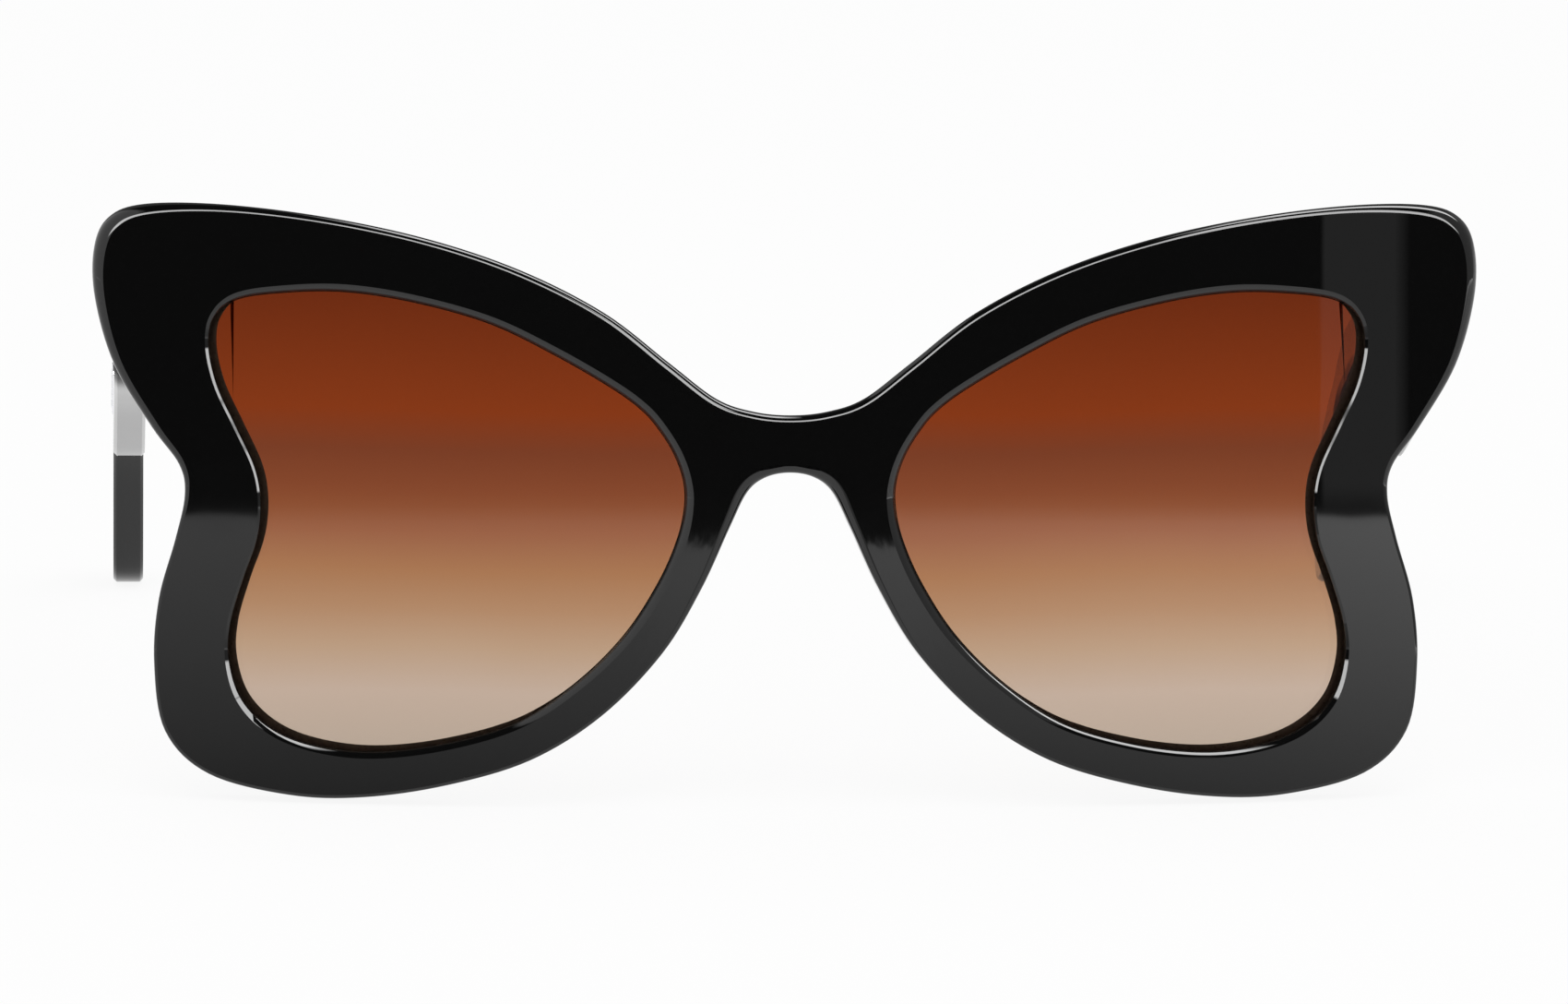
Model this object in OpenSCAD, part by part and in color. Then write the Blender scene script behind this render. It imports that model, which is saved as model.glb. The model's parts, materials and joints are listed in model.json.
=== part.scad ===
// Butterfly sunglasses: a wrapped acetate front with two lenses, and two temples that fold
// behind it, one over the other. Millimetres, +Z up, the front faces -Y, standing with the
// temples open on the lower rims and the temple tips.

/* [Front] */
// Radius of the wrap of the front, seen from above
wrap_r = 330; // [250:10:500]
// Thickness of the front
front_t = 4.2; // [3.6:0.1:5]
// Step of the end pieces' flat joint face behind the rim's back at the widest point
joint_step = 0.5; // [0.3:0.1:1.2]
// Inner edge of the thick end piece, from the middle
end_inner_x = 64.9; // [64.7:0.1:65.1]
// Lower edge of the thick end piece
end_low_z = 43.8; // [43:0.1:45]
// Upper edge of the thick end piece
end_high_z = 63.4; // [62.8:0.1:64]
// Width of the bevel round each lens opening
bevel_w = 0.6; // [0.3:0.1:0.8]

/* [Lenses] */
// Thickness of a lens
lens_t = 2.0; // [1.6:0.1:2.4]
// Depth of the lens groove in the rim
groove_d = 1.0; // [0.6:0.1:1.2]
// Distance of the lens behind the front's face
lens_set_back = 1.1; // [0.8:0.1:1.2]
// Clearance between a lens and its groove, all round
lens_gap = 0.05; // [0.03:0.01:0.1]

/* [Nose pads] */
// Height of a nose pad's middle
pad_z = 22.5; // [20:0.5:25]
// Length of a nose pad
pad_l = 13; // [9:0.5:15]
// Radius of a nose pad's edge
pad_r = 1.7; // [1.4:0.1:1.9]
// How far a nose pad stands out behind the rim
pad_out = 4.4; // [3.5:0.1:5.5]
// How far a nose pad stands back from the rim's nose edge
pad_inset = 0.4; // [0.2:0.1:0.8]
// Length of a nose pad's outer ridge between the middles of its round ends
pad_ridge_l = 5.2; // [3:0.2:7]
// How much further back from the nose the ridge stands than the foot
pad_flare = 0.4; // [0:0.1:1]

/* [Temples] */
// Thickness of a temple
temple_t = 3.5; // [3.2:0.1:3.7]
// Width of the chamfer along a temple's edges
temple_chamfer = 0.8; // [0.4:0.1:1]
// Gap between an open temple's end and the end piece
butt_gap = 0.15; // [0.1:0.05:0.2]
// Width of the metal core wire
core_w = 1.8; // [1.2:0.1:2]
// Thickness of the metal core wire
core_t = 0.9; // [0.7:0.1:1.1]
// Clearance round the core wire
core_gap = 0.05; // [0.03:0.01:0.1]

/* [Hinges] */
// Distance of the hinge axis from the middle
axis_x = 67.6; // [67.4:0.1:67.8]
// Distance of the hinge axis from the end piece and from the temple's inner face
axis_off = 1.7; // [1.65:0.05:1.8]
// Radius of the hinge barrels
barrel_r = 1.5; // [1.3:0.05:1.55]
// Number of barrels: one more on the front's leaf than on the temple's
barrels = 5; // [3:2:7]
// Height of the whole row of barrels
hinge_h = 9; // [8:0.5:10]
// Height of the hinge's middle
hinge_z = 52.7; // [52:0.1:53.4]
// Gap between two barrels
barrel_gap = 0.08; // [0.05:0.01:0.12]
// Thickness of the hinge leaves
leaf_t = 0.8; // [0.6:0.1:1]
// Length of the temple's leaf behind the hinge axis
leaf_l = 4.8; // [4.4:0.1:5.2]
// Width of the front's leaf outside the hinge axis
leaf_out = 4.4; // [4:0.1:4.8]
// Radius of the hinge screw
screw_r = 0.7; // [0.5:0.05:0.8]
// Running clearance round the hinge screw
screw_gap = 0.05; // [0.03:0.01:0.08]
// Height of the hinge screw's head
screw_head_h = 0.8; // [0.6:0.1:1]
// Radius of the hinge screw's head
screw_head_r = 1.4; // [1.1:0.05:1.5]
// Width of the slot in the hinge screw's head
screw_slot_w = 0.4; // [0.3:0.05:0.5]
// Radius of the rivets that hold the leaves
rivet_r = 0.6; // [0.45:0.05:0.7]
// Radius of the rivets' heads
rivet_head_r = 1.0; // [0.85:0.05:1.1]
// Length of the rivets
rivet_l = 2.6; // [2:0.1:2.7]
// Height between the two rivets of a leaf
rivet_pitch = 5; // [4:0.2:5.6]
// Clearance round rivets and leaves
fix_gap = 0.03; // [0.02:0.01:0.06]

/* [Studs] */
// Distance between studs along a row
stud_pitch = 7.3; // [6:0.1:9]
// Distance between the three rows
stud_rows_gap = 7.1; // [6:0.1:7.4]
// How far each row stands towards the hinge from the one above
stud_row_shift = 3.1; // [2.6:0.1:3.8]
// Radius of a stud's shank
stud_shank_r = 0.45; // [0.3:0.05:0.6]
// Radius of a stud's ring on the temple's inner face
stud_in_r = 1.0; // [0.8:0.05:1.2]
// Radius of a stud's ring on the temple's outer face
stud_out_r = 1.35; // [1.1:0.05:1.6]
// Height of the studs' rings above the temple
stud_proud = 0.22; // [0.15:0.01:0.3]
// Width of the ring round a crystal
stud_ring = 0.3; // [0.2:0.05:0.4]
// Depth of the crystal's seat
seat_d = 0.12; // [0.08:0.01:0.15]
// Height of a crystal above its ring
crystal_h = 0.12; // [0.05:0.01:0.15]

/* [Smoothness] */
// Straight steps between two points of an outline
steps = 3; // [2:1:5]

/* [Hidden] */
$fn = 48;
eps = 0.01;
far = 60;
// Facets of the wrap, and of studs and pads
wrap_fn = 180;
small_fn = 24;

// Outer outline of the front's right half, in x and z: nose arch, nose side, lower lobe,
// waist, end piece, brow and the dip above the bridge. Its first nose_points follow the nose
nose_points = 7;
half_outline = [
    [0, 35.1], [2.6, 34.6], [4.6, 33], [6.5, 29.2], [9.6, 22.5], [13.8, 15.6], [20.3, 8.9],
    [28, 4.1], [37, 1.4], [46, 0.1], [54, 0.5], [62.3, 2.9], [66.9, 7.4], [68.3, 14.5],
    [67.8, 21.5], [66, 28], [65, 32.7], [65.6, 36], [68.4, 40], [72.4, 46.9], [74.6, 54],
    [74.9, 59.5], [73.4, 62.8], [69.5, 64.2], [61, 64.1], [50, 62.7], [39, 60.3],
    [29, 56.9], [20, 52.3], [13, 46.9], [8, 43.1], [4, 41.7], [0, 41.3]];
// Edge of the right lens opening on the front's face, from its inner top corner down
opening = [
    [15.4, 42.4], [13.4, 40.1], [11.7, 37.3], [10.7, 34.3], [10.6, 31.4], [11.4, 27.7],
    [13.5, 22.9], [17.2, 17.2], [22.4, 12], [29, 7.6], [37, 5.2], [45, 4.3], [51.6, 5.1],
    [56.4, 7.1], [59.7, 10.5], [61.1, 15], [60.9, 19.2], [59.5, 24], [58.1, 28],
    [57.7, 31.8], [58.3, 35.4], [60.3, 39.8], [62.4, 44.4], [63.3, 48.9], [62.6, 52.3],
    [59.8, 54.6], [54, 55.4], [47.5, 55.4], [40, 54.2], [32, 51.9], [25, 48.5],
    [18.8, 44.9]];
// Lower and upper edge of the temple's end that meets the end piece
temple_root = [48.6, 61.9];
// Temple, as distance behind the hinge axis, lower edge and upper edge: blade, step up to
// the neck, bend and broad tip
temple_stations = [
    [0.3, 45.9, 62.5], [3.2, 44.7, 62.4], [12, 43.5, 61.5],
    [24, 41.8, 60.2], [42, 38.9, 58.1], [51.5, 37.4, 57], [54.6, 37.2, 56.7], [57, 38.2, 56.4],
    [63.1, 41.9, 55.8], [69.6, 45.7, 55.1], [74.4, 47.9, 54.5], [79, 48.6, 54],
    [84, 48.1, 53.4], [88.5, 47.3, 52.7], [93, 46.3, 51.5], [101.6, 44.4, 48.4],
    [106.7, 41.7, 46.3], [111.2, 38.4, 44.7], [114.3, 35, 43.6], [117.3, 30.4, 42.4],
    [120.6, 25.2, 41], [123.4, 23.1, 39.6], [127.5, 22.6, 37], [130.2, 24.2, 34.2],
    [131.5, 26.6, 31.6], [131.8, 29, 29]];
// Middle line of the core wire
core_line = [
    [9.5, 57], [30, 55.3], [50, 53.6], [78, 51.3], [90, 49.3], [100, 46.6], [107.5, 43.1],
    [113.5, 38.4], [118.5, 33.6], [122, 30.2]];
// Rearmost stud of the middle row, and the slope of the rows in degrees
stud_start = [36.5, 49.6];
stud_slope = 7.7;
// Studs in the upper, middle and lower row
stud_counts = [5, 5, 4];

function circled(P, i) = P[(i + len(P)) % len(P)];
function curve_point(a, b, c, d, t) = 0.5 * (2 * b + (c - a) * t
    + (2 * a - 5 * b + 4 * c - d) * t * t + (3 * b - a - 3 * c + d) * t * t * t);
// A closed smooth curve through the points of P
function smooth(P) = [for (i = [0:len(P) - 1], k = [0:steps - 1])
    curve_point(circled(P, i - 1), P[i], circled(P, i + 1), circled(P, i + 2), k / steps)];
// An open smooth curve through the points of P
function smooth_open(P) = concat([for (i = [0:len(P) - 2], k = [0:steps - 1])
    curve_point(P[max(i - 1, 0)], P[i], P[i + 1], P[min(i + 2, len(P) - 1)], k / steps)],
    [P[len(P) - 1]]);
function outward(P, i) = let (d = circled(P, i + 1) - circled(P, i - 1))
    [d[1], -d[0]] / norm(d);
// P moved outwards by d
function grown(P, d) = [for (i = [0:len(P) - 1]) P[i] + d * outward(P, i)];
function side_of(L, i) = let (d = L[min(i + 1, len(L) - 1)] - L[max(i - 1, 0)])
    [d[1], -d[0]] / norm(d);
// The line L, made longer by d at both ends
function lengthened(L, d) = let (n = len(L) - 1)
    [for (i = [0:n]) i == 0 ? L[0] + d * (L[0] - L[1]) / norm(L[0] - L[1])
        : i == n ? L[n] + d * (L[n] - L[n - 1]) / norm(L[n] - L[n - 1])
        : L[i]];
// A strip of width w along the open line L
function strip(L, w) = concat([for (i = [0:len(L) - 1]) L[i] + w / 2 * side_of(L, i)],
    [for (i = [len(L) - 1:-1:0]) L[i] - w / 2 * side_of(L, i)]);
// Depth of a surface that lies d behind the front's face, at x
function wrap_y(x, d) = wrap_r - sqrt(pow(wrap_r - d, 2) - x * x);

mirrored_half = [for (i = [len(half_outline) - 2:-1:1]) [-half_outline[i][0], half_outline[i][1]]];
outline = smooth(concat(half_outline, mirrored_half));
nose_side = [for (i = [0:nose_points - 1]) [half_outline[i][1], half_outline[i][0]]];
lens_hole = grown(smooth(opening), -bevel_w);
temple_rows = concat([concat(-axis_off + butt_gap, temple_root)], smooth_open(temple_stations));
temple_outline = concat([for (r = temple_rows) [r[0], r[1]]],
    [for (i = [len(temple_rows) - 2:-1:0]) [temple_rows[i][0], temple_rows[i][2]]]);
width = 2 * max([for (p = outline) p[0]]);
height = max([for (p = outline) p[1]]);
joint_y = wrap_y(width / 2, front_t) + joint_step;
axis_y = joint_y + axis_off;
inner_x = axis_x + axis_off;
barrel_h = hinge_h / barrels;
hinge_low_z = hinge_z - hinge_h / 2;
bore_r = screw_r + screw_gap;
rivet_x = (inner_x + axis_x + leaf_out) / 2;
rivet_y = axis_y + (barrel_r + leaf_l) / 2;
groove_front = lens_set_back - lens_gap;
groove_back = lens_set_back + lens_t + lens_gap;

// The lean that sets the rims and the temple tips on one plane, found in a few rounds
rim_points = [for (p = outline) [wrap_y(p[0], front_t), p[1]]];
tip_points = [for (p = temple_outline) [axis_y + p[0], p[1]]];
first_lean = 10;
lean_rounds = 4;
function drop(P, a) = min([for (p = P) p[1] * cos(a) - p[0] * sin(a)]);
function contact(P, a) = let (lowest = drop(P, a) + eps / 10)
    [for (p = P) if (p[1] * cos(a) - p[0] * sin(a) <= lowest) p][0];
function lean_at(a, rounds) = let (r = contact(rim_points, a), t = contact(tip_points, a),
        b = atan2(t[1] - r[1], t[0] - r[0]))
    rounds < 1 ? b : lean_at(b, rounds - 1);
lean = lean_at(first_lean, lean_rounds);
floor_z = drop(rim_points, lean);
face_points = [for (p = outline) [wrap_y(p[0], 0), p[1]]];
near_y = min([for (p = face_points) p[0] * cos(lean) + p[1] * sin(lean)]);
far_y = max([for (p = tip_points) p[0] * cos(lean) + p[1] * sin(lean)]);

// Stands the object on the ground, leaning back, with its middle over the origin
module placed() {
    translate([0, -(near_y + far_y) / 2, -floor_z]) rotate([-lean, 0, 0]) children();
}

// A piece of the wearer's left, at +X, or its mirror image
module side(left) {
    placed() mirror([left ? 0 : 1, 0, 0]) children();
}

// An outline in x and z, made solid from y0 to y1
module plate(P, y0, y1) {
    translate([0, y1, 0]) rotate([90, 0, 0]) linear_extrude(y1 - y0) polygon(P);
}

// An outline in y and z, made solid from x0 to x1
module blade(P, x0, x1) {
    translate([x0, 0, 0]) rotate([90, 0, 90]) linear_extrude(x1 - x0) polygon(P);
}

// The space between two surfaces that lie d0 and d1 behind the front's face
module wrapped(d0, d1) {
    translate([0, wrap_r, -far]) difference() {
        cylinder(r = wrap_r - d0, h = 3 * far, $fn = wrap_fn);
        translate([0, 0, -eps]) cylinder(r = wrap_r - d1, h = 3 * far + 2 * eps, $fn = wrap_fn);
    }
}

// A closed solid through rings of equally many points. Each ring runs out along one edge
// and back along the other, so that each end is closed across, between the two edges
module loft(rings) {
    n = len(rings[0]);
    m = (n - 1) / 2;
    last = len(rings) - 1;
    function across(k, i) = [k + i, k + i + 1, k + n - 1 - i];
    function across_back(k, i) = [k + i + 1, k + n - 2 - i, k + n - 1 - i];
    function turned(f) = [f[2], f[1], f[0]];
    polyhedron([for (r = rings) each r], concat(
        [for (i = [0:m - 1]) turned(across(0, i))],
        [for (i = [0:m - 2]) turned(across_back(0, i))],
        [for (k = [0:last - 1], i = [0:n - 1])
            each [[k * n + i, k * n + (i + 1) % n, (k + 1) * n + (i + 1) % n],
                [k * n + i, (k + 1) * n + (i + 1) % n, (k + 1) * n + i]]],
        [for (i = [0:m - 1]) across(last * n, i)],
        [for (i = [0:m - 2]) across_back(last * n, i)]));
}

// A box from corner to corner
module block(low, high) {
    translate(low) cube(high - low);
}

module hinge_screw_shape(gap) {
    translate([axis_x, axis_y, hinge_low_z - eps * (gap > 0 ? 1 : 0)])
        cylinder(r = screw_r + gap, h = hinge_h + eps * (gap > 0 ? 2 : 0));
}

// The barrels of a leaf: every second one, from the first or the second, with their web
module leaf_barrels(first, web_low, web_high) {
    for (i = [first:2:barrels - 1]) {
        z0 = hinge_low_z + i * barrel_h + (i == 0 ? 0 : barrel_gap / 2);
        z1 = hinge_low_z + (i + 1) * barrel_h - (i == barrels - 1 ? 0 : barrel_gap / 2);
        translate([axis_x, axis_y, z0]) cylinder(r = barrel_r, h = z1 - z0);
        block([web_low[0], web_low[1], z0], [web_high[0], web_high[1], z1]);
    }
}

// Places on a leaf for its two rivets
module at_rivets() {
    for (dz = [-rivet_pitch / 2, rivet_pitch / 2]) translate([0, 0, hinge_z + dz]) children();
}

// A rivet whose head is flush with z = 0 and whose shank goes down
module rivet(gap) {
    translate([0, 0, -rivet_l - gap]) cylinder(r = rivet_r + gap, h = rivet_l + gap);
    translate([0, 0, -leaf_t / 2])
        cylinder(r = rivet_head_r + gap, h = leaf_t / 2 + (gap > 0 ? eps : 0));
}

module front_rivet_places(gap) {
    at_rivets() translate([rivet_x, joint_y, 0]) rotate([-90, 0, 0]) rivet(gap);
}

module temple_rivet_places(gap) {
    at_rivets() translate([inner_x, rivet_y, 0]) rotate([0, -90, 0]) rivet(gap);
}

module front_leaf_plate(gap) {
    block([axis_x - barrel_r - gap, joint_y - leaf_t - gap, hinge_low_z - gap],
        [axis_x + leaf_out + gap, joint_y + (gap > 0 ? eps : 0), hinge_low_z + hinge_h + gap]);
}

module temple_leaf_plate(gap) {
    block([inner_x - (gap > 0 ? eps : 0), axis_y - barrel_r + butt_gap - gap, hinge_low_z - gap],
        [inner_x + leaf_t + gap, axis_y + leaf_l + gap, hinge_low_z + hinge_h + gap]);
}

// Every stud's place, as distance behind the axis and height
function stud_places() = let (u = [cos(stud_slope), -sin(stud_slope)],
        v = [sin(stud_slope), cos(stud_slope)])
    [for (row = [0:2], i = [0:stud_counts[row] - 1])
        stud_start + (1 - row) * (stud_rows_gap * v + stud_row_shift * u) - i * stud_pitch * u];

module at_studs() {
    for (p = stud_places()) translate([inner_x, axis_y + p[0], p[1]]) rotate([0, 90, 0]) children();
}

module front_frame() {
    color([0.03, 0.03, 0.03]) placed() difference() {
        union() {
            intersection() {
                plate(outline, -far / 2, far);
                wrapped(0, front_t);
            }
            for (s = [0, 1]) mirror([s, 0, 0]) intersection() {
                plate(outline, joint_y - front_t / 2, joint_y);
                block([end_inner_x, 0, end_low_z], [width, far, end_high_z]);
            }
        }
        for (s = [0, 1]) mirror([s, 0, 0]) {
            plate(lens_hole, -far / 2, far);
            intersection() {
                plate(grown(lens_hole, groove_d), -far / 2, far);
                wrapped(groove_front, groove_back);
            }
            front_leaf_plate(fix_gap);
            front_rivet_places(fix_gap);
        }
    }
}

module lens(left) {
    color([0.45, 0.25, 0.15, 0.7]) side(left) intersection() {
        plate(grown(lens_hole, groove_d - lens_gap), -far / 2, far);
        wrapped(lens_set_back, lens_set_back + lens_t);
    }
}

// The pad lies on the rim's back along the nose side and stands out to carry the nose
module nose_pad(left) {
    color([0.05, 0.05, 0.05]) side(left) difference() {
        hull() for (k = [-1, 1]) {
            foot_z = pad_z + k * (pad_l / 2 - pad_r);
            foot_x = lookup(foot_z, nose_side) + pad_inset + pad_r;
            ridge_z = pad_z + k * pad_ridge_l / 2;
            ridge_x = lookup(ridge_z, nose_side) + pad_inset + pad_flare + pad_r;
            translate([foot_x, wrap_y(foot_x, front_t), foot_z]) sphere(r = pad_r, $fn = small_fn);
            translate([ridge_x, wrap_y(foot_x, front_t) + pad_out - pad_r, ridge_z])
                sphere(r = pad_r, $fn = small_fn);
        }
        wrapped(-far / 2, front_t);
    }
}

module temple(left) {
    c = temple_chamfer;
    full = [for (p = temple_outline) [p[0] + axis_y, p[1]]];
    inset = grown(full, -c);
    color([0.03, 0.03, 0.03]) side(left) difference() {
        loft([
            [for (p = inset) [inner_x, p[0], p[1]]],
            [for (p = full) [inner_x + c, p[0], p[1]]],
            [for (p = full) [inner_x + temple_t - c, p[0], p[1]]],
            [for (p = inset) [inner_x + temple_t, p[0], p[1]]]]);
        core_wire_shape(core_gap);
        temple_leaf_plate(fix_gap);
        temple_rivet_places(fix_gap);
        at_studs() translate([0, 0, -eps])
            cylinder(r = stud_shank_r + fix_gap, h = temple_t + 2 * eps, $fn = small_fn);
    }
}

module core_wire_shape(gap) {
    line = lengthened([for (p = core_line) [p[0] + axis_y, p[1]]], gap);
    middle_x = inner_x + temple_t / 2;
    half_t = core_t / 2 + gap;
    blade(strip(line, core_w + 2 * gap), middle_x - half_t, middle_x + half_t);
}

module core_wire(left) {
    color([0.75, 0.75, 0.78]) side(left) core_wire_shape(0);
}

module front_leaf(left) {
    color([0.8, 0.7, 0.45]) side(left) difference() {
        union() {
            front_leaf_plate(0);
            leaf_barrels(0, [axis_x - barrel_r, joint_y - leaf_t / 2],
                [axis_x + barrel_r, axis_y]);
        }
        hinge_screw_shape(screw_gap);
        front_rivet_places(fix_gap);
    }
}

module temple_leaf(left) {
    color([0.8, 0.7, 0.45]) side(left) difference() {
        union() {
            temple_leaf_plate(0);
            leaf_barrels(1, [axis_x, axis_y - barrel_r + butt_gap],
                [inner_x + leaf_t / 2, axis_y + barrel_r]);
        }
        hinge_screw_shape(screw_gap);
        temple_rivet_places(fix_gap);
    }
}

module hinge_screw(left) {
    head_z = hinge_low_z + hinge_h;
    color([0.85, 0.85, 0.85]) side(left) difference() {
        union() {
            hinge_screw_shape(0);
            translate([axis_x, axis_y, head_z]) cylinder(r = screw_head_r, h = screw_head_h);
        }
        block([axis_x - barrel_r, axis_y - screw_slot_w / 2, head_z + screw_head_h / 2],
            [axis_x + barrel_r, axis_y + screw_slot_w / 2, head_z + screw_head_h + eps]);
    }
}

module front_rivets(left) {
    color([0.8, 0.7, 0.45]) side(left) front_rivet_places(0);
}

module temple_rivets(left) {
    color([0.8, 0.7, 0.45]) side(left) temple_rivet_places(0);
}

// A stud goes through the temple, with a ring on each face that holds a crystal
module stud() {
    difference() {
        union() {
            cylinder(r = stud_shank_r, h = temple_t, $fn = small_fn);
            translate([0, 0, -stud_proud]) cylinder(r = stud_in_r, h = stud_proud, $fn = small_fn);
            translate([0, 0, temple_t]) cylinder(r = stud_out_r, h = stud_proud, $fn = small_fn);
        }
        translate([0, 0, -stud_proud - eps])
            cylinder(r = stud_in_r - stud_ring, h = seat_d + eps, $fn = small_fn);
        translate([0, 0, temple_t + stud_proud - seat_d])
            cylinder(r = stud_out_r - stud_ring, h = seat_d + eps, $fn = small_fn);
    }
}

module studs(left) {
    color([0.8, 0.8, 0.82]) side(left) at_studs() stud();
}

// A stone of eight facets that stands on its seat at z = 0
module crystal(ring_r) {
    r = ring_r - stud_ring - fix_gap;
    cylinder(r = r, h = seat_d, $fn = 8);
    translate([0, 0, seat_d]) cylinder(r1 = r, r2 = r / 2, h = crystal_h, $fn = 8);
}

module crystals(left) {
    color([0.9, 0.9, 0.95]) side(left) at_studs() {
        translate([0, 0, seat_d - stud_proud]) mirror([0, 0, 1]) crystal(stud_in_r);
        translate([0, 0, temple_t + stud_proud - seat_d]) crystal(stud_out_r);
    }
}

front_frame();
lens(true);  // left_lens
lens(false);  // right_lens
nose_pad(true);  // left_nose_pad
nose_pad(false);  // right_nose_pad
temple(true);  // left_temple
temple(false);  // right_temple
core_wire(true);  // left_core_wire
core_wire(false);  // right_core_wire
front_leaf(true);  // left_front_leaf
front_leaf(false);  // right_front_leaf
temple_leaf(true);  // left_temple_leaf
temple_leaf(false);  // right_temple_leaf
hinge_screw(true);  // left_hinge_screw
hinge_screw(false);  // right_hinge_screw
front_rivets(true);  // left_front_rivets
front_rivets(false);  // right_front_rivets
temple_rivets(true);  // left_temple_rivets
temple_rivets(false);  // right_temple_rivets
studs(true);  // left_studs
studs(false);  // right_studs
crystals(true);  // left_crystals
crystals(false);  // right_crystals
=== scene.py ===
import contextlib
import json
import math

import bmesh
import bpy
import numpy as np
from mathutils import Matrix, Vector


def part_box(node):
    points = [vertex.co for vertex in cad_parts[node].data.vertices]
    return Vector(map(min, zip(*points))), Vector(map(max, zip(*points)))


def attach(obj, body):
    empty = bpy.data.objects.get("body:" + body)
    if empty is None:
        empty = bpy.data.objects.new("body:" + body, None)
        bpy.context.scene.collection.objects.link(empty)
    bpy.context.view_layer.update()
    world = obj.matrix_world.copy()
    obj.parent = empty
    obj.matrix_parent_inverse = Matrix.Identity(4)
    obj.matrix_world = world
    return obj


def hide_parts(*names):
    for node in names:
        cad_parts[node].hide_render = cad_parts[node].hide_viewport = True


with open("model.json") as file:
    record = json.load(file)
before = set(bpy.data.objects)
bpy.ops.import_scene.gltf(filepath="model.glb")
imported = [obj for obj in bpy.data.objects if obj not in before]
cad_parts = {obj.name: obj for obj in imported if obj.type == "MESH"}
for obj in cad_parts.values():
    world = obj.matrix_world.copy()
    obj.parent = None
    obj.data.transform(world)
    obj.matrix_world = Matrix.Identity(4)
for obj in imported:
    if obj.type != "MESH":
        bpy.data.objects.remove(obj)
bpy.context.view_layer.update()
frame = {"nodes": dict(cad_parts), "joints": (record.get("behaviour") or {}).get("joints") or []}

bl_info = {
    "name": "Butterfly Sunglasses",
    "version": (1, 0, 0),
    "blender": (4, 5, 0),
    "location": "View3D > Sidebar > Sunglasses",
    "description": "Models butterfly sunglasses round their packed frame, and sets the studio",
    "category": "Add Mesh",
}

MM = 0.001
LEFT_HINGE = next(joint for joint in frame["joints"] if joint["name"] == "left_hinge")
HINGE = Vector(LEFT_HINGE["pos_m"])
# The front leans back, and the hinge axis leans with it
FRONT_UP = Vector(LEFT_HINGE["axis"]).normalized()
LEAN = math.atan2(FRONT_UP.y, FRONT_UP.z)
HALF_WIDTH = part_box("front_frame")[1].x
# The wearer's left and right: name, direction across, and the body of the arm
SIDES = (("left", 1, "left_arm"), ("right", -1, "right_arm"))
# The distance under which points are one
MERGE = 2e-6
# The least fold in radians of a rounding's edge, of a chamfer's and of a sharp one
ROUND_FOLD, CHAMFER_FOLD, SHARP_FOLD = 0.1, 0.6, 1
# The most that the normal of an upright face points forwards or back
UPRIGHT = 0.1
# The least agreement of a flat face with the wrap, and of a lens face with the front
ON_WRAP, LENS_FACE = 0.999, 0.9
# How evenly the points of an opening are spread, from 0 to 1
EVEN = 0.35
TEMPLE_STEPS = 4

# Outer outline of the front's half on the wearer's left, in millimetres: across, up, and
# the rounding of the face's edge there. It runs from the nose arch down the nose side and
# round the lower lobe, the waist, the end piece and the brow to the dip above the bridge.
HALF_OUTLINE = [
    (0, 35.1, 0.6), (2.6, 34.6, 0.9), (4.6, 33, 1.2), (6.5, 29.2, 0.9), (9.6, 22.5, 0.7),
    (13.8, 15.6, 0.35), (20.3, 8.9, 0.35), (28, 4.1, 0.35), (37, 1.4, 0.35), (46, 0.1, 0.35),
    (54, 0.35, 0.35), (62.6, 2.6, 0.35), (67.3, 7.2, 0.35), (68.5, 14.5, 0.35),
    (68, 21.5, 0.35), (66.2, 28, 0.35), (65.2, 32.7, 0.45), (65.8, 36, 0.6), (68.7, 40, 0.7),
    (72.8, 46.8, 0.8), (74.9, 54, 1.05), (75, 59.5, 1.3), (73.4, 62.8, 1.6),
    (69.5, 64.2, 1.2), (61, 64.1, 0.75), (50, 62.7, 0.7), (39, 60.3, 0.7), (29, 56.9, 0.7),
    (20, 52.3, 0.7), (13, 46.9, 0.75), (8, 43.1, 0.75), (4, 41.7, 0.75), (0, 41.3, 0.75)]
# How many of these points make the arch and the nose side
NOSE_POINTS = 7
# Edge of the lens opening on the face of that half, in the same numbers, from its inner
# top corner down
OPENING = [
    (15.4, 42.4, 0.75), (13.4, 40.1, 0.75), (11.7, 37.3, 0.75), (10.7, 34.3, 0.8),
    (10.6, 31.4, 0.9), (11.4, 27.7, 1.0), (13.5, 22.9, 1.05), (17.2, 17.2, 0.95),
    (22.4, 12, 0.8), (29, 7.6, 0.75), (37, 5.2, 0.75), (45, 4.3, 0.8), (51.6, 5.1, 0.8),
    (56.4, 7.1, 0.8), (59.7, 10.5, 0.7), (61.1, 15, 0.5), (60.9, 19.2, 0.4),
    (59.5, 24, 0.35), (58.1, 28, 0.35), (57.7, 31.8, 0.35), (58.3, 35.4, 0.35),
    (60.3, 39.8, 0.35), (62.4, 44.4, 0.4), (63.3, 48.9, 0.45), (62.6, 52.3, 0.55),
    (59.8, 54.6, 0.65), (54, 55.4, 0.7), (47.5, 55.4, 0.75), (40, 54.2, 0.7),
    (32, 51.9, 0.7), (25, 48.5, 0.75), (18.8, 44.9, 0.75)]
# A point that sees the whole opening and the whole half outline
EYE = (37, 31)
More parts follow.
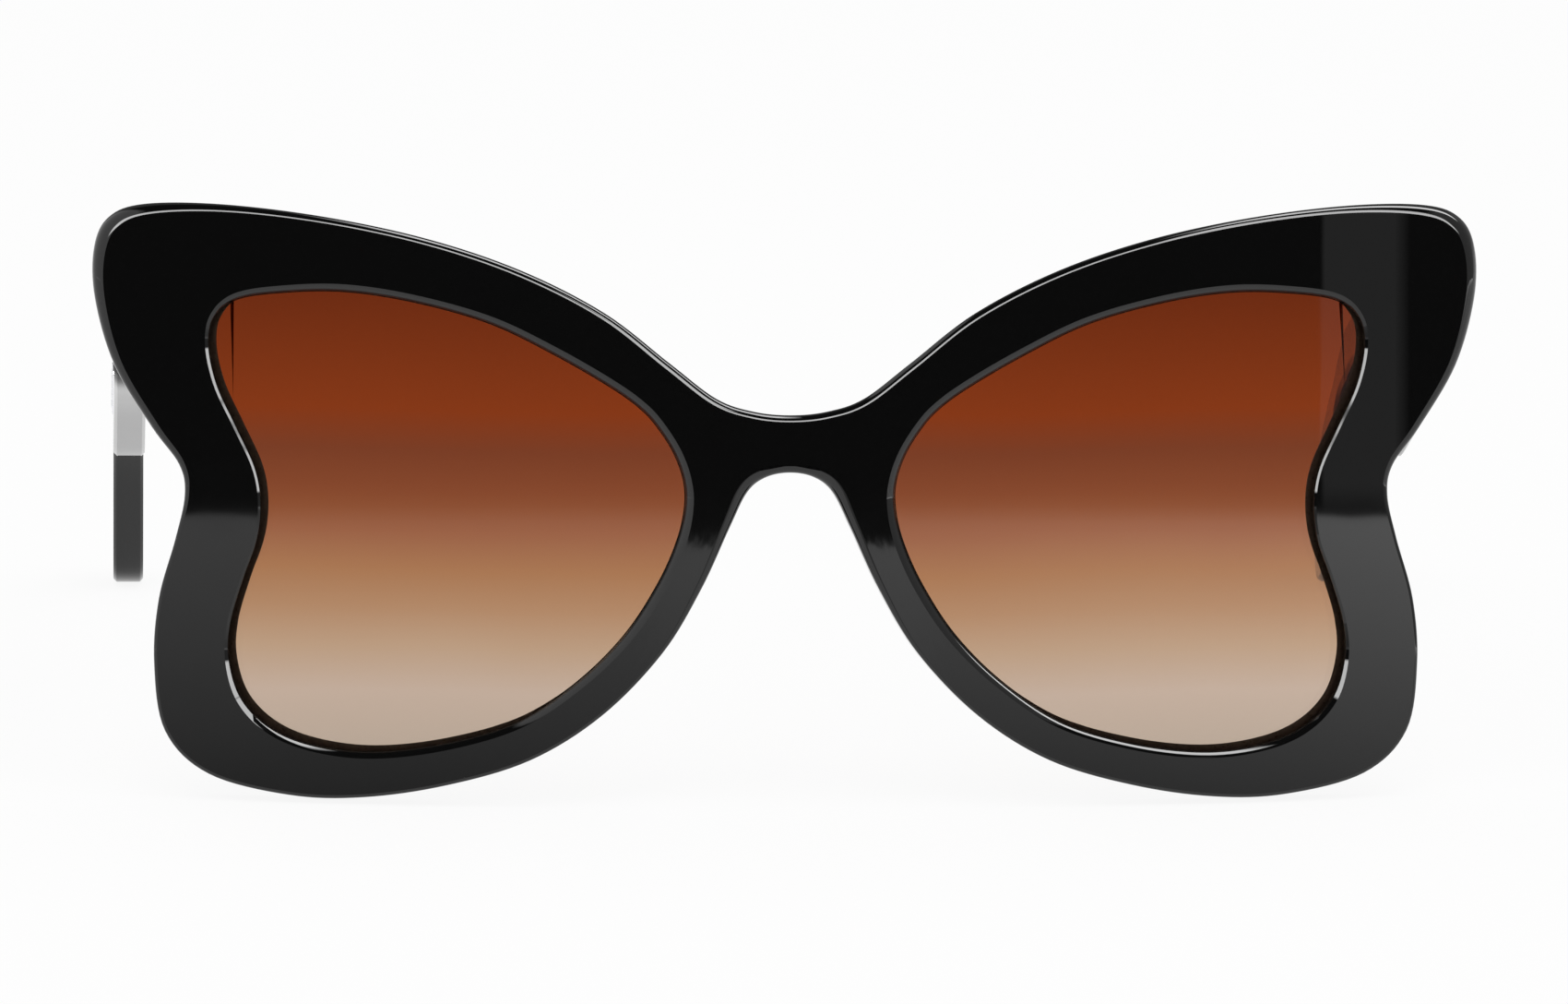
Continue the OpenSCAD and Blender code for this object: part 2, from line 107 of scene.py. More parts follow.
# Temple in millimetres: distance behind the hinge axis, lower edge and upper edge
TEMPLE_STATIONS = [
    (0.3, 45.9, 62.5), (3.2, 44.7, 62.4), (12, 43.5, 61.5), (24, 41.8, 60.2),
    (42, 38.9, 58.1), (51.5, 37.4, 57), (54.6, 37.2, 56.7), (57, 38.2, 56.4),
    (63.1, 41.9, 55.8), (69.6, 45.7, 55.1), (74.4, 47.9, 54.5), (79, 48.6, 54),
    (84, 48.1, 53.4), (88.5, 47.3, 52.7), (93, 46.3, 51.5), (101.6, 44.4, 48.4),
    (106.7, 41.7, 46.3), (111.2, 38.4, 44.7), (114.3, 35, 43.6), (117.3, 30.4, 42.4),
    (120.6, 25.2, 41), (123.4, 23.1, 39.6), (127.5, 22.6, 37), (130.2, 24.2, 34.2),
    (131.5, 26.6, 31.6), (131.8, 29, 29)]
# Lower and upper edge of the temple's butt end
TEMPLE_ROOT = (48.6, 61.9)
# Rearmost stud of the middle row, as distance behind the axis and height, and how many
# studs the upper, the middle and the lower row have
STUD_START = (36.5, 49.6)
STUD_COUNTS = (5, 5, 4)


def length(label, text, millimetres):
    """A size that a user would change, given in millimetres."""
    return bpy.props.FloatProperty(
        name=label, description=text, default=millimetres * MM, unit="LENGTH", precision=5)


def colour(label, text, value):
    """A colour that a user would change."""
    return bpy.props.FloatVectorProperty(
        name=label, description=text, default=value, size=3, subtype="COLOR", min=0, max=1)


def share(label, text, value):
    """A number from 0 to 1 that a user would change."""
    return bpy.props.FloatProperty(
        name=label, description=text, default=value, min=0, max=1, subtype="FACTOR")


def number(label, text, value):
    """A plain number that a user would change."""
    return bpy.props.FloatProperty(name=label, description=text, default=value)


class FrontSizes(bpy.types.PropertyGroup):
    """Sizes of the acetate front"""
    wrap_radius: length("Wrap radius", "Radius of the front's wrap, seen from above", 330)
    thickness: length("Thickness", "Thickness of the front", 4.2)
    back_round: length("Back rounding", "Rounding of the outer edge of the back", 0.8)
    wall: length("Rim wall", "How far the rim's wall stands inside the opening", 0.75)
    rim_back_round: length("Rim back rounding", "Rounding of the rim's edge at the back", 0.25)
    bridge_tilt: number("Bridge tilt", "How far the polish turns the bridge's face up", 0.001)
    bridge_half: length("Bridge", "Half the width that is turned up in full", 12)
    bridge_fade: length("Bridge fade", "Width over which the turn fades out beside it", 6)
    groove_front: length("Groove front", "Depth at which the lens groove starts", 1.05)
    groove_back: length("Groove back", "Depth at which the lens groove ends", 3.15)
    groove_depth: length("Groove depth", "Depth of the lens groove in the rim", 1.0)
    joint_step: length("Joint step", "Step of the end pieces' joint face behind the rim", 0.5)
    block_inner: length("End piece start", "Inner edge of the thick end piece", 64.9)
    block_low: length("End piece bottom", "Lower edge of the thick end piece", 43.8)
    block_blend: length("End piece blend", "Width of the end piece's soft edge", 0.9)


class LensSizes(bpy.types.PropertyGroup):
    """Sizes of the lenses"""
    set_back: length("Set back", "Distance of the lens behind the front's face", 1.1)
    thickness: length("Thickness", "Thickness of a lens", 2.0)
    seat: length("Seat", "How far the lens reaches into the groove", 0.9)
    edge: length("Ground edge", "Least width of the ground edge inside the rim", 0.1)
    edge_more: length("Ground edge below", "How much wider it is below and outside", 0.8)
    edge_swell: share("Ground edge swell", "How soon it widens, less being sooner", 0.7)


class PadSizes(bpy.types.PropertyGroup):
    """Sizes of the nose pads"""
    middle: length("Height", "Height of a nose pad's middle", 22.5)
    length: length("Length", "Length of a nose pad", 13)
    inset: length("Inset", "Distance of a pad from the rim's nose edge", 0.4)
    flare: length("Flare", "How much further back the pad's ridge stands", 0.4)
    width: length("Width", "Width of a pad at its foot", 3.4)
    height: length("Stand", "How far a pad stands out behind the rim", 4.4)
    fullness: share("Fullness", "How pointed the pad's ends are, less being blunter", 0.8)
    sink: share("Sink", "How far the pad goes into the rim, as a share of its stand", 0.12)


class TempleSizes(bpy.types.PropertyGroup):
    """Sizes of the temples"""
    axis_offset: length("Axis offset", "Distance of the hinge axis from the inner face", 1.7)
    butt_gap: length("Butt gap", "Gap between an open temple's end and the end piece", 0.15)
    hinge_height: length("Hinge middle", "Height of the hinge's middle", 52.7)
    thickness: length("Thickness", "Thickness of a temple", 3.5)
    chamfer: length("Chamfer", "Width of the chamfer along the edges", 0.38)
    softness: length("Chamfer softness", "Rounding of the chamfer's two edges", 0.08)


class HingeSizes(bpy.types.PropertyGroup):
    """Sizes of the hinges"""
    barrel_radius: length("Barrel radius", "Radius of the hinge barrels", 1.5)
    height: length("Hinge height", "Height of the row of barrels", 9)
    leaf: length("Leaf thickness", "Thickness of the hinge leaves", 0.8)
    leaf_length: length("Temple leaf", "Length of the temple's leaf behind the axis", 4.8)
    leaf_width: length("Front leaf", "Width of the front's leaf outside the axis", 4.4)
    gap: length("Seat gap", "Clearance round a leaf in its pocket", 0.05)


class StudSizes(bpy.types.PropertyGroup):
    """Sizes and spacing of the studs"""
    pitch: length("Pitch", "Distance between studs along a row", 7.3)
    rows_gap: length("Row distance", "Distance between the rows", 7.1)
    row_shift: length("Row shift", "How far each row stands towards the hinge", 3.1)
    slope: bpy.props.FloatProperty(
        name="Slope", description="Slope of the rows", default=math.radians(7.7),
        unit="ROTATION")
    inner_radius: length("Inner radius", "Radius of a ring on the inner face", 1.0)
    outer_radius: length("Outer radius", "Radius of a ring on the outer face", 1.35)
    proud: length("Proud", "Height of the rings above the temple", 0.22)
    ring: length("Ring width", "Width of the metal round a stone", 0.3)
    stone: length("Stone height", "Height of a stone above its ring", 0.12)


class Finishes(bpy.types.PropertyGroup):
    """Colours and gloss of the materials"""
    acetate: colour("Acetate", "Colour of the acetate", (0.0026, 0.0026, 0.0026))
    acetate_gloss: share("Acetate roughness", "Roughness of the polished acetate", 0.012)
    smears: share("Smears", "How much rougher the acetate is where it is smeared", 0.03)
    silver: colour("Silver", "Colour of the stud rings", (0.80, 0.80, 0.82))
    stone: colour("Stone", "Colour of the foiled stones", (0.46, 0.47, 0.52))
    nickel: colour("Nickel", "Colour of the hinge leaves", (0.62, 0.59, 0.53))
    steel: colour("Steel", "Colour of the hinge screws", (0.60, 0.60, 0.61))


class StudioSettings(bpy.types.PropertyGroup):
    """Camera, lamps and floor"""
    distance: length("Distance", "Distance from the camera to the front", 1500)
    view_width: length("View width", "Width of the picture at the front", 169.0)
    yaw: bpy.props.FloatProperty(
        name="Yaw", description="Angle of the camera to the front's own middle line",
        default=math.radians(2.8), unit="ROTATION")
    aim_x: length("Aim across", "Point of the front in the picture's middle, across", -0.7)
    aim_z: length("Aim up", "Point of the front in the picture's middle, up", 31.95)
    floor: length("Floor", "Width of the floor", 8000)
    floor_glow: share("Floor glow", "Share of the floor's white that needs no lamp", 0.9)
    dark: share("Dark side", "Brightness of the room above and behind the camera", 0.03)
    horizon: number("Horizon", "Height of the white table's edge in the gloss", -0.0009)
    horizon_blur: number("Horizon blur", "Softness of that edge", 0.0002)
    softbox: number("Softbox", "Brightness of the overhead softbox in the gloss", 12)
    strip: number("Strip", "Brightness of the strip at the side in the gloss", 0.32)
    strip_foot: number("Strip foot", "Height at which the strip is bright in full", 0.001)
    ambient: share("Ambient", "Brightness of the room's even light", 0.8)
    key: number("Overhead power", "Power of the overhead lamp in watts", 0.8)


SETTINGS = {
    "front": FrontSizes, "lenses": LensSizes, "pads": PadSizes, "temples": TempleSizes,
    "hinges": HingeSizes, "studs": StudSizes, "finishes": Finishes, "studio": StudioSettings}


def settings(group):
    return getattr(bpy.context.scene, "sunglasses_" + group)


# Outlines


def curve_through(points, closed, steps=8):
    """A smooth curve through points given in millimetres, as an array in metres."""
    points = np.array(points, float) * MM
    count = len(points)
    line = []
    for i in range(count if closed else count - 1):
        if closed:
            a, b, c, d = (points[(i + k) % count] for k in (-1, 0, 1, 2))
        else:
            a, b, c, d = (points[min(max(i + k, 0), count - 1)] for k in (-1, 0, 1, 2))
        for t in np.arange(steps) / steps:
            line.append(0.5 * (2 * b + (c - a) * t + (2 * a - 5 * b + 4 * c - d) * t ** 2
                               + (3 * b - a - 3 * c + d) * t ** 3))
    if not closed:
        line.append(points[-1])
    return np.array(line)


def outward(loop):
    """Unit vectors that point out of a closed loop that runs anticlockwise."""
    along = np.roll(loop, -1, axis=0) - np.roll(loop, 1, axis=0)
    normal = np.stack([along[:, 1], -along[:, 0]], axis=1)
    return normal / np.linalg.norm(normal, axis=1)[:, None]


class FrontShape:
    """Loops of points round half of the front: the outer outline, closed along the middle
    of the bridge, and the edge of the lens opening, point beside point."""

    def __init__(self, bridge_steps=6):
        half = HALF_OUTLINE[1:-1]
        whole = HALF_OUTLINE + [(-x, z, rounding) for x, z, rounding in reversed(half)]
        loop = curve_through(whole, closed=True)
        arc = (len(HALF_OUTLINE) - 1) * (len(loop) // len(whole)) + 1
        self.arc, self.arc_round = loop[:arc, :2], loop[:arc, 2]
        self.arc_out = outward(loop)[:arc]
        self.down = np.linspace(0, 1, bridge_steps + 1)[1:-1, None]
        hole = curve_through(OPENING, closed=True)
        eye = np.array(EYE) * MM
        outline = self.outer(0)
        seen, aims = (np.unwrap(np.arctan2(*(p - eye).T[::-1]))
                      for p in (outline, hole[:, :2]))
        turns = np.round((seen[0] - aims[0]) / math.tau) * math.tau
        reach = np.concatenate([aims - math.tau, aims, aims + math.tau]) + turns
        sighted = np.interp(seen, reach, np.arange(3 * len(hole)) - len(hole))
        even = sighted[0] + np.arange(len(outline)) / len(outline) * len(hole)
        place = sighted * (1 - EVEN) + even * EVEN
        self.hole_out = between_points(outward(hole), place)
        hole = between_points(hole, place)
        self.hole, self.hole_round = hole[:, :2], hole[:, 2]

    def outer(self, inset):
        """The outer outline drawn in by that much."""
        arc = self.arc - np.reshape(inset, (-1, 1)) * self.arc_out
        return np.concatenate([arc, arc[-1] * (1 - self.down) + arc[0] * self.down])

    def inner(self, inset):
        """The opening's edge drawn in by that much."""
        return self.hole - np.reshape(inset, (-1, 1)) * self.hole_out

    def rows(self, wall, spare, count=10):
        """Loops from the outline to the opening's wall: the face between its roundings is
        divided evenly, and begins a little outside them."""
        first = self.outer(self.arc_round + spare)
        last = self.inner(wall - self.hole_round - spare)
        face = [first + (last - first) * k / count for k in range(count + 1)]
        return [self.outer(0)] + face + [self.inner(wall)]


def between_points(line, place):
    """Points at places between the points of a closed line."""
    low = np.floor(place).astype(int)
    part = (place - low)[:, None]
    return line[low % len(line)] * (1 - part) + line[(low + 1) % len(line)] * part


def wrap(x, depth):
    """Distance behind the middle of the face of a surface that lies depth behind it."""
    radius = settings("front").wrap_radius
    return radius - np.sqrt((radius - depth) ** 2 - x ** 2)


def joint_depth():
    """Depth of the flat face on which the temple's end rests."""
    sizes = settings("front")
    return float(wrap(HALF_WIDTH, sizes.thickness)) + sizes.joint_step


def placed():
    """The matrix that leans the front back and stands it in the frame."""
    temples = settings("temples")
    local = Vector((HINGE.x, joint_depth() + temples.axis_offset, temples.hinge_height))
    return (Matrix.Translation(HINGE) @ Matrix.Rotation(-LEAN, 4, "X")
            @ Matrix.Translation(-local))


def smooth_step(value, low, high):
    t = np.clip((value - low) / (high - low), 0, 1)
    return t * t * (3 - 2 * t)


# Modelling


def select_only(*pieces):
    bpy.ops.object.select_all(action="DESELECT")
    for piece in pieces:
        piece.select_set(True)
    bpy.context.view_layer.objects.active = pieces[0]


def added(primitive, name, **values):
    """A new primitive under its own name, with nothing else selected."""
    bpy.ops.object.select_all(action="DESELECT")
    getattr(bpy.ops.mesh, f"primitive_{primitive}_add")(**values)
    piece = bpy.context.object
    piece.name = piece.data.name = name
    return piece


def read(items, key, width=3, kind=float):
    """A value of every item of a mesh, as an array."""
    flat = np.empty(len(items) * width, kind)
    items.foreach_get(key, flat)
    return flat.reshape(-1, width) if width > 1 else flat


def shaped(piece, move):
    """Moves every vertex of a piece to move(x, y, z), which takes and gives arrays."""
    points = np.stack(move(*read(piece.data.vertices, "co").T), axis=1)
    piece.data.vertices.foreach_set("co", points.ravel())
    piece.data.update()


def around(x, y, count):
    """The number of each vertex of a round primitive, counted round it."""
    angle = np.arctan2(y, x)
    return np.rint((angle - angle.min()) / math.tau * count).astype(int) % count


def drawn(points):
    """The coordinates of flat points in the plane of x and z."""
    return points[:, 0], np.zeros(len(points)), points[:, 1]


def plate(name, loop):
    """A flat plate in the plane of x and z: a filled circle, drawn to a loop."""
    piece = added("circle", name, vertices=len(loop), fill_type="NGON")
    shaped(piece, lambda x, y, z: drawn(loop[around(x, y, len(loop))]))
    return piece


def band(name, loops):
    """A flat band through loops of as many points: a cylinder's wall, divided into rings
    and pressed flat."""
    piece = added("cylinder", name, vertices=len(loops[0]), depth=2, end_fill_type="NOTHING")
    with editing(piece, "EDGE") as mesh:
        pick(mesh, mesh.edges, lambda edge: edge.verts[0].co.z * edge.verts[1].co.z < 0)
        bpy.ops.mesh.subdivide(number_cuts=len(loops) - 2)
    loops = np.array(loops)
    shaped(piece, lambda x, y, z: drawn(loops[
        np.rint((z + 1) / 2 * (len(loops) - 1)).astype(int), around(x, y, len(loops[0]))]))
    return piece


@contextlib.contextmanager
def editing(piece, mode="VERT"):
    """Edit mode with nothing selected yet."""
    select_only(piece)
    bpy.ops.object.mode_set(mode="EDIT")
    bpy.ops.mesh.select_mode(type=mode)
    bpy.ops.mesh.select_all(action="DESELECT")
    yield bmesh.from_edit_mesh(piece.data)
    bpy.ops.mesh.select_mode(type="VERT")
    bpy.ops.object.mode_set(mode="OBJECT")


def pick(mesh, elements, wanted):
    """Selects the edges or faces that are wanted, and says how many they are."""
    bpy.ops.mesh.select_all(action="DESELECT")
    mesh.normal_update()
    chosen = [element for element in elements if wanted(element)]
    for element in chosen:
        element.select_set(True)
    mesh.select_flush_mode()
    return len(chosen)


def fold(edge):
    """The angle between an edge's two faces, or 0 at an open edge."""
    return edge.calc_face_angle(0) if len(edge.link_faces) == 2 else 0


def thicken(piece, depth):
    """Extrudes a flat piece backwards."""
    with editing(piece, "FACE"):
        bpy.ops.mesh.select_all(action="SELECT")
        bpy.ops.mesh.extrude_region_move(TRANSFORM_OT_translate={"value": (0, depth, 0)})
        bpy.ops.mesh.select_all(action="SELECT")
        bpy.ops.mesh.normals_make_consistent(inside=False)


def bevel(piece, wanted, offset, segments=1):
    """Bevels the edges that are wanted."""
    with editing(piece, "EDGE") as mesh:
        if pick(mesh, mesh.edges, wanted):
            bpy.ops.mesh.bevel(
                offset=offset, segments=segments, profile=0.5, clamp_overlap=False)


def bevel_along(piece, wanted, line, widths, segments=1):
    """Bevels the edges that are wanted, with a width that changes along a closed line."""
    middles = (line + np.roll(line, -1, axis=0)) / 2
    shares = (widths + np.roll(widths, -1)) / 2 / widths.max()
    with editing(piece, "EDGE") as mesh:
        weight = (mesh.edges.layers.float.get("bevel_weight_edge")
                  or mesh.edges.layers.float.new("bevel_weight_edge"))
        mesh.normal_update()
        for edge in mesh.edges:
            edge[weight] = 0
            if wanted(edge):
                x, _, z = (edge.verts[0].co + edge.verts[1].co) / 2
                edge[weight] = shares[np.hypot(*(middles - (x, z)).T).argmin()]
    apply(piece, "BEVEL", width=widths.max(), segments=segments, limit_method="WEIGHT",
          use_clamp_overlap=False)


def turned(name, profile, sides_around):
    """A piece turned on a lathe: a circle extruded and resized along a profile of radius
    and height, whose first and last rings close to a point where their radius is 0."""
    profile = [(max(radius, MERGE / 4), height) for radius, height in profile]
    radius, height = profile[0]
    piece = added("circle", name, vertices=sides_around, radius=radius, location=(0, 0, height))
    bpy.ops.object.transform_apply(location=True, rotation=True, scale=True)
    with editing(piece, "EDGE"):
        bpy.ops.mesh.select_all(action="SELECT")
        for (before, low), (after, high) in zip(profile, profile[1:]):
            bpy.ops.mesh.extrude_region_move(
                TRANSFORM_OT_translate={"value": (0, 0, high - low)})
            size = after / before
            bpy.ops.transform.resize(value=(size, size, 1), center_override=(0, 0, high))
    close(piece)
    return piece


def close(piece):
    """Merges the seams and poles of a piece and points its faces outwards."""
    with editing(piece):
        bpy.ops.mesh.select_all(action="SELECT")
        bpy.ops.mesh.remove_doubles(threshold=MERGE)
        bpy.ops.mesh.delete_loose(use_verts=True, use_edges=True, use_faces=False)
        bpy.ops.mesh.select_all(action="SELECT")
        bpy.ops.mesh.normals_make_consistent(inside=False)


def delete_faces(piece, unwanted):
    """Deletes the faces that are unwanted."""
    with editing(piece, "FACE") as mesh:
        pick(mesh, mesh.faces, unwanted)
        bpy.ops.mesh.delete(type="FACE")


def apply(piece, kind, **values):
    """Adds a modifier with those values and applies it."""
    select_only(piece)
    modifier = piece.modifiers.new(kind.title(), kind)
    for name, value in values.items():
        setattr(modifier, name, value)
    bpy.ops.object.modifier_apply(modifier=modifier.name)


def cut_seat(piece, across, inner, outer, front, back):
    """Cuts the seat of a hinge leaf, as high as the hinge, into the piece of one side."""
    hinge, middle = settings("hinges"), settings("temples").hinge_height
    half = hinge.height / 2 + hinge.gap
    left, right = sorted((across * inner, across * outer))
    low, high = Vector((left, front, middle - half)), Vector((right, back, middle + half))
    cutter = added("cube", "cutter", size=1, location=(low + high) / 2)
    cutter.scale = high - low
    bpy.context.view_layer.update()
    apply(piece, "BOOLEAN", object=cutter, operation="DIFFERENCE", solver="EXACT")
    bpy.data.objects.remove(cutter)


def finish(piece, material, body, replaced, place=None, angle=30, flat_faces=True):
    """Puts a piece in its place, smooths it, and gives it its finish and body. Flat faces
    keep their own normals, so that only the narrow edges look round."""
    select_only(piece)
    if place is not None:
        piece.matrix_world = place
        bpy.ops.object.transform_apply(location=True, rotation=True, scale=True)
    bpy.ops.object.shade_smooth_by_angle(angle=math.radians(angle))
    if flat_faces:
        apply(piece, "WEIGHTED_NORMAL", keep_sharp=True)
    piece.data.materials.clear()
    piece.data.materials.append(material)
    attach(piece, body)
    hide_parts(replaced)
    return piece


def polish(piece):
    """Gives the large faces of the front, which lie on its wrap, the wrap's exact normals,
    so that the edges of what they mirror stay straight, and turns the bridge up a little."""
    mesh, front, stand = piece.data, settings("front"), placed()
    turn = np.array(stand.to_3x3())
    x, y, _ = ((read(mesh.vertices, "co") - np.array(stand.translation)) @ turn).T
    beside = smooth_step(abs(x), front.bridge_half, front.bridge_half + front.bridge_fade)
    away = np.hypot(x, y - front.wrap_radius)
    out = np.stack([x / away, (y - front.wrap_radius) / away,
                    front.bridge_tilt * (1 - beside)], axis=1) @ turn.T
    normals = read(mesh.corner_normals, "vector")
    faces = np.repeat(read(mesh.polygons, "normal"),
                      read(mesh.polygons, "loop_total", 1, int), axis=0)
    corner = read(mesh.loops, "vertex_index", 1, int)
    on_face = ((abs(front.wrap_radius - away[corner]) < MERGE)
               & ((faces * out[corner]).sum(axis=1) > ON_WRAP))
    normals[on_face] = out[corner[on_face]]
    mesh.normals_split_custom_set(normals)


# Materials


def both_ways(operation):
    """A Math node's operation as a Python operator, and in its reflected form."""
    return (lambda self, other: self.recipe.math(operation, self, other),
            lambda self, other: self.recipe.math(operation, other, self))


class Signal:
    """A node's output, on which Python's operators add Math nodes."""
    __add__, __radd__ = both_ways("ADD")
    __sub__, __rsub__ = both_ways("SUBTRACT")
    __mul__, __rmul__ = both_ways("MULTIPLY")
    __truediv__, __rtruediv__ = both_ways("DIVIDE")

    def __init__(self, recipe, socket):
        self.recipe = recipe
        self.socket = socket


class Recipe:
    """A node tree that is written as a list of ingredients."""

    def __init__(self, tree):
        self.tree = tree
        self.tree.nodes.clear()

    def add(self, kind, settings=(), inputs=(), output=0):
        """Adds a node, gives it its settings, then the values or links of its sockets."""
        node = self.tree.nodes.new(kind)
        for name, value in dict(settings).items():
            if name == "stops":
                self.set_stops(node.color_ramp, value)
            else:
                setattr(node, name, value)
        for name, value in dict(inputs).items():
            if isinstance(value, Signal):
                self.tree.links.new(value.socket, node.inputs[name])
            else:
                node.inputs[name].default_value = value
        return Signal(self, node.outputs[output]) if len(node.outputs) else node

    def math(self, operation, *values):
        return self.add("ShaderNodeMath", {"operation": operation}, dict(enumerate(values)))

    def most(self, *values):
        """The largest of some values."""
        first, *others = values
        for other in others:
            first = self.math("MAXIMUM", first, other)
        return first

    def step(self, value, low, high):
        """Rises evenly from 0 to 1 while the value goes from low to high."""
        part = (value - low) / (high - low)
        return self.math("MAXIMUM", self.math("MINIMUM", part, 1.0), 0.0)

    def between(self, value, start, end):
        """Rises over the first pair of values and falls over the second."""
        return self.step(value, *start) * (1 - self.step(value, *end))

    @staticmethod
    def set_stops(ramp, stops):
        while len(ramp.elements) < len(stops):
            ramp.elements.new(0.5)
        for element, (position, value) in zip(ramp.elements, stops):
            element.position = position
            element.color = (*value, 1)


def new_material(name):
    material = bpy.data.materials.new(name)
    material.use_nodes = True
    return material, Recipe(material.node_tree)


def surface(recipe, **inputs):
    """Ends a material in a Principled shader with those inputs."""
    names = {name.replace("_", " ").title().replace("Ior", "IOR"): value
             for name, value in inputs.items()}
    shader = recipe.add("ShaderNodeBsdfPrincipled", inputs=names)
    recipe.add("ShaderNodeOutputMaterial", inputs={"Surface": shader})


def noise(recipe, scale, detail, stretch=None, output="Fac"):
    """Noise on a piece's own coordinates, or on those stretched along the axes."""
    place = recipe.add("ShaderNodeTexCoord", output="Object")
    if stretch:
        place = recipe.add("ShaderNodeMapping", inputs={"Vector": place, "Scale": stretch})
    return recipe.add(
        "ShaderNodeTexNoise", inputs={"Vector": place, "Scale": scale, "Detail": detail},
        output=output)


def relief(recipe, height, strength, depth):
    """A surface normal that follows a fine relief of that depth."""
    return recipe.add("ShaderNodeBump", inputs={
        "Strength": strength, "Distance": depth, "Height": height})


def mixed(recipe, factor, first, second):
    """Goes from the first colour to the second with the factor."""
    return recipe.add(
        "ShaderNodeMix", {"data_type": "RGBA"},
        {0: factor, 6: (*first, 1), 7: (*second, 1)}, output=2)


def acetate_material():
    """Polished black acetate: deep gloss, faint polishing waves and a few dull smears."""
    finishes = settings("finishes")
    material, recipe = new_material("Black_acetate")
    smear = noise(recipe, scale=90.0, detail=4.0, stretch=(1.0, 1.0, 2.2))
    wave = noise(recipe, scale=120.0, detail=1.0)
    speckle = noise(recipe, scale=2600.0, detail=1.0)
    tone = Vector(finishes.acetate)
    surface(recipe, ior=1.49, base_color=mixed(recipe, speckle, tone * 0.8, tone * 1.25),
            roughness=finishes.acetate_gloss + finishes.smears * recipe.step(smear, 0.52, 1.52),
            normal=relief(recipe, wave, strength=0.05, depth=0.02 * MM))
    return material


def lens_material():
    """Brown sun lens: the colour is dark at the brow and fades towards the lower rim. Its stops
    also hold painted shade: a darker very bottom, and a dip below the brow where the temples
    shade what is seen through the lens.
    """
    material, recipe = new_material("Brown_gradient_lens_and_painted_shade")
    low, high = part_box("left_lens")
    place = recipe.add("ShaderNodeTexCoord", output="Object")
    rise = recipe.add("ShaderNodeSeparateXYZ", inputs={"Vector": place}, output="Z")
    unevenness = 0.03 * (noise(recipe, scale=40.0, detail=1.0) - 0.5)
    level = (rise - low.z) / (high.z - low.z) + unevenness
    # Painted shade in the stops: the stop at 0.00 is darker than the one at 0.15, and the stop
    # at 0.65 dips below the one at 0.73
    tint_and_painted_shade = recipe.add("ShaderNodeValToRGB", {"stops": [
        (0.00, (0.48, 0.39, 0.31)), (0.15, (0.55, 0.42, 0.33)), (0.24, (0.50, 0.33, 0.21)),
        (0.32, (0.44, 0.235, 0.12)), (0.40, (0.385, 0.165, 0.062)),
        (0.48, (0.31, 0.10, 0.036)), (0.57, (0.25, 0.067, 0.026)),
        (0.65, (0.205, 0.05, 0.02)), (0.73, (0.25, 0.042, 0.009)),
        (1.00, (0.15, 0.024, 0.006))]}, {0: level})
    surface(recipe, base_color=tint_and_painted_shade, roughness=0.0, ior=1.45, transmission_weight=1.0,
            specular_tint=(0, 0, 0, 1), coat_weight=0.9, coat_roughness=0.022, coat_ior=1.45)
    return material


def ground_material():
    """Ground edge of a lens: dull brown glass with fine streaks and glints."""
    material, recipe = new_material("Ground_lens_edge")
    grind = noise(recipe, scale=1800.0, detail=3.0)
    glint = recipe.step(noise(recipe, scale=4200.0, detail=1.0), 0.62, 0.7)
    surface(recipe, base_color=mixed(recipe, grind, (0.012, 0.006, 0.003), (0.07, 0.045, 0.03)),
            roughness=0.45 - 0.3 * glint, ior=1.45,
            normal=relief(recipe, grind, strength=0.4, depth=0.03 * MM))
    return material


def metal(name, dark, light, least_rough, rougher, relief_strength=0, **grain):
    """A metal whose grain goes from a dark tone to a light one, and roughens it."""
    material, recipe = new_material(name)
    lines = noise(recipe, **grain)
    more = ({"normal": relief(recipe, lines, strength=relief_strength, depth=0.02 * MM)}
            if relief_strength else {})
    surface(recipe, base_color=mixed(recipe, lines, dark, light), metallic=1.0,
            roughness=least_rough + rougher * lines, **more)
    return material


def nickel_material():
    """Drawn nickel silver of the hinge leaves, with fine lines along the leaf."""
    tone = Vector(settings("finishes").nickel)
    return metal("Drawn_nickel", tone * 0.85, tone * 1.1, 0.2, 0.18, relief_strength=0.25,
                 scale=6.0, detail=3.0, stretch=(900.0, 900.0, 90.0))


def steel_material():
    """Plated steel of the hinge screws, turned on a lathe."""
    tone = Vector(settings("finishes").steel)
    return metal("Plated_steel", tone * 0.9, tone * 1.08, 0.12, 0.12,
                 scale=4.0, detail=2.0, stretch=(300.0, 300.0, 2500.0))


def wire_material():
    """Dull drawn wire inside the temples."""
    return metal("Core_wire", (0.42, 0.42, 0.43), (0.6, 0.6, 0.6), 0.3, 0.15,
                 scale=5.0, detail=2.0, stretch=(900.0, 60.0, 900.0))


def silver_material():
    """Polished silver plate of the stud rings, a little worn."""
    tone = Vector(settings("finishes").silver)
    return metal("Silver_plate", tone * 0.92, tone * 1.05, 0.08, 0.16,
                 scale=900.0, detail=3.0)


def stone_material():
    """Small faceted stone with a foiled back: each facet mirrors another direction. Random
    coloured flecks mixed into its colour are painted fire, the coloured flashes that the facets
    throw.
    """
    material, recipe = new_material("Foiled_stone")
    # Painted fire: random colours stand in for the light that the facets split
    painted_fire = noise(recipe, scale=1500.0, detail=1.0, output="Color")
    base = recipe.add("ShaderNodeMix", {"data_type": "RGBA", "blend_type": "SOFT_LIGHT"}, {
        0: 0.35, 6: (*settings("finishes").stone, 1), 7: painted_fire}, output=2)
    surface(recipe, base_color=base, metallic=0.7, roughness=0.04, coat_weight=1.0,
            coat_roughness=0.02)
    return material


# Pieces


